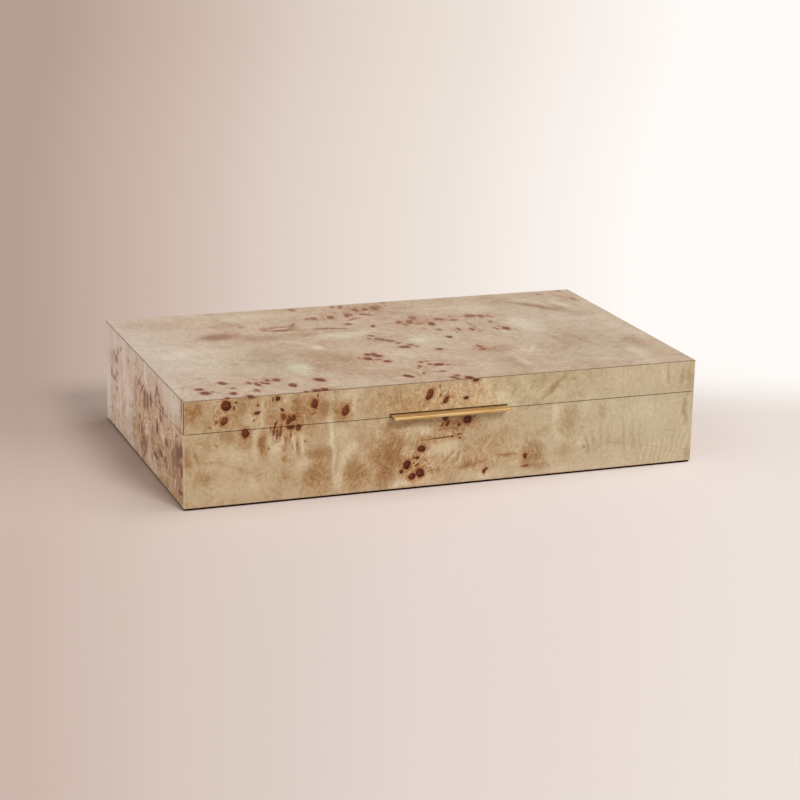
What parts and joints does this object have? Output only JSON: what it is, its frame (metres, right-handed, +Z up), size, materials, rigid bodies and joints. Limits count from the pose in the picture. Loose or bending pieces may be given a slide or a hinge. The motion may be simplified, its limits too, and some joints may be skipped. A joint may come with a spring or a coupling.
{
  "type": "hinged lid craft box",
  "caption": "Low rectangular burl-veneered craft box: hinged lid with a flat brass pull bar, felt underside, lined inside with a brush trough and wells for paints.",
  "frame": {"origin": "centre of the felt underside, which the box rests on", "axes": "+X to the right along the length as seen from the front, -Y to the front where the pull bar is, +Z up"},
  "size_m": [0.38, 0.2384, 0.0769],
  "materials": {
    "burl_veneer": "satin",
    "core_wood": "satin",
    "panel_board": "matte",
    "divider_wood": "satin",
    "suede_lining": "matte",
    "base_felt": "matte",
    "brass": "brushed",
    "bumper_rubber": "matte"
  },
  "bodies": {
    "base": {"back_liner": "suede_lining", "base_back_board": "core_wood", "base_back_veneer": "burl_veneer", "base_bottom_panel": "panel_board", "base_felt": "base_felt", "base_front_board": "core_wood", "base_front_veneer": "burl_veneer", "base_left_board": "core_wood", "base_left_veneer": "burl_veneer", "base_right_board": "core_wood", "base_right_veneer": "burl_veneer", "brush_trough_divider": "divider_wood", "cross_divider_1": "divider_wood", "cross_divider_2": "divider_wood", "cross_divider_3": "divider_wood", "cross_divider_4": "divider_wood", "cross_divider_5": "divider_wood", "floor_lining": "suede_lining", "front_liner": "suede_lining", "hinge_base_screws": "brass", "left_hinge_base_leaf": "brass", "left_hinge_pin": "brass", "left_liner": "suede_lining", "right_hinge_base_leaf": "brass", "right_hinge_pin": "brass", "right_liner": "suede_lining", "rim_bumpers": "bumper_rubber", "well_row_divider": "divider_wood"},
    "lid": {"hinge_lid_screws": "brass", "left_hinge_lid_leaf": "brass", "lid_back_rail": "core_wood", "lid_back_veneer": "burl_veneer", "lid_front_rail": "core_wood", "lid_front_veneer": "burl_veneer", "lid_left_rail": "core_wood", "lid_left_veneer": "burl_veneer", "lid_lining_pad": "suede_lining", "lid_pull": "brass", "lid_right_rail": "core_wood", "lid_right_veneer": "burl_veneer", "lid_top_board": "panel_board", "lid_top_veneer": "burl_veneer", "pull_screws": "brass", "right_hinge_lid_leaf": "brass"}
  },
  "joints": [
    {"name": "lid_hinge", "type": "hinge", "parent": "base", "child": "lid", "pos_m": [0, 0.11475, 0.0536], "axis": [-1, 0, 0], "range_deg": [0, 95]}
  ]
}
